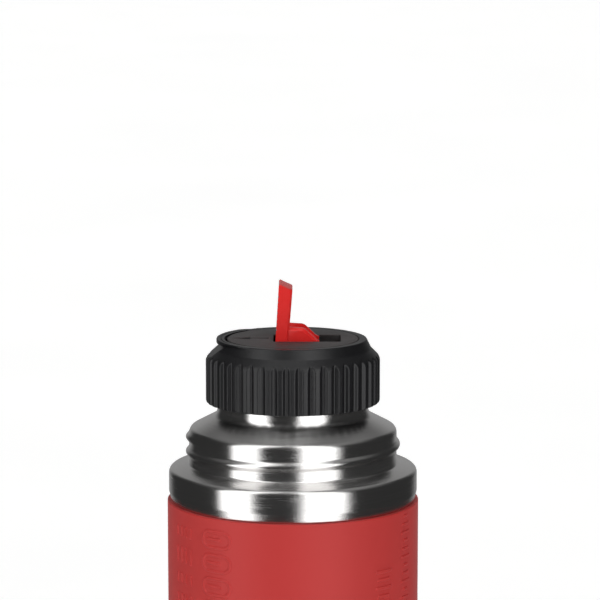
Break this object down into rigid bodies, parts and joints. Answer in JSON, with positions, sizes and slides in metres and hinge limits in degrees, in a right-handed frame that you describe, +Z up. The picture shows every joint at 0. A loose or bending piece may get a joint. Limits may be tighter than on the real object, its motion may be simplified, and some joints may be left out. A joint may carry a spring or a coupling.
{
  "type": "vacuum flask",
  "caption": "Insulated steel flask in a rubber sleeve, with a screw-in stopper that pours when its lever is lifted.",
  "frame": {"origin": "on the table under the middle of the base", "axes": "+Z up along the flask's axis; the spout points along -X and the lever's hinge runs along Y"},
  "size_m": [0.092, 0.092, 0.2827],
  "materials": {
    "brushed_steel": "brushed round the axis",
    "inner_steel": "bright drawn",
    "spring_steel": "bright wire",
    "getter_alloy": "sintered",
    "copper_foil": "bright foil",
    "solder_glass": "fused, glossy",
    "red_silicone": "soft satin",
    "clear_silicone": "translucent, satin",
    "black_plastic": "fine moulded satin",
    "grey_plastic": "fine moulded matt",
    "red_plastic": "semi-gloss"
  },
  "bodies": {
    "flask": {"outer_shell": "brushed_steel", "inner_vessel": "inner_steel", "inner_base": "inner_steel", "outer_base": "inner_steel", "vacuum_seal": "solder_glass", "base_cover": "brushed_steel", "getter": "getter_alloy", "radiation_foil": "copper_foil", "silicone_sleeve": "red_silicone"},
    "gasket": {"neck_gasket": "clear_silicone"},
    "stopper": {"grip_ring": "black_plastic", "top_disc": "grey_plastic", "plug_body": "black_plastic", "disc_seal": "clear_silicone", "stem_seal": "clear_silicone", "valve_guide": "grey_plastic", "valve_spring": "spring_steel", "lever_pin": "spring_steel"},
    "lever": {"lever": "red_plastic"},
    "valve": {"valve_stem": "grey_plastic", "valve_washer": "clear_silicone", "washer_clip": "spring_steel"}
  },
  "joints": [
    {"name": "stopper_rise", "type": "slide", "parent": "flask", "child": "gasket", "axis": [0, 0, 1], "range_m": [0, 0.00901]},
    {"name": "stopper_turn", "type": "hinge", "parent": "gasket", "child": "stopper", "pos_m": [0, 0, 0.2475], "axis": [0, 0, 1], "range_deg": [0, 810]},
    {"name": "lever_fold", "type": "hinge", "parent": "stopper", "child": "lever", "pos_m": [-0.0049, 0, 0.2605], "axis": [0, 1, 0], "range_deg": [-3.5, 86.5]},
    {"name": "valve_slide", "type": "slide", "parent": "stopper", "child": "valve", "axis": [0, 0, -1], "range_m": [-0.0002, 0.00482], "deforming": ["valve_spring"]}
  ],
  "couplings": [
    {"joint": "stopper_rise", "follows": "stopper_turn", "m_per_rad": 0.00063662},
    {"joint": "valve_slide", "follows": "lever_fold", "m_per_rad": 0.003183}
  ]
}
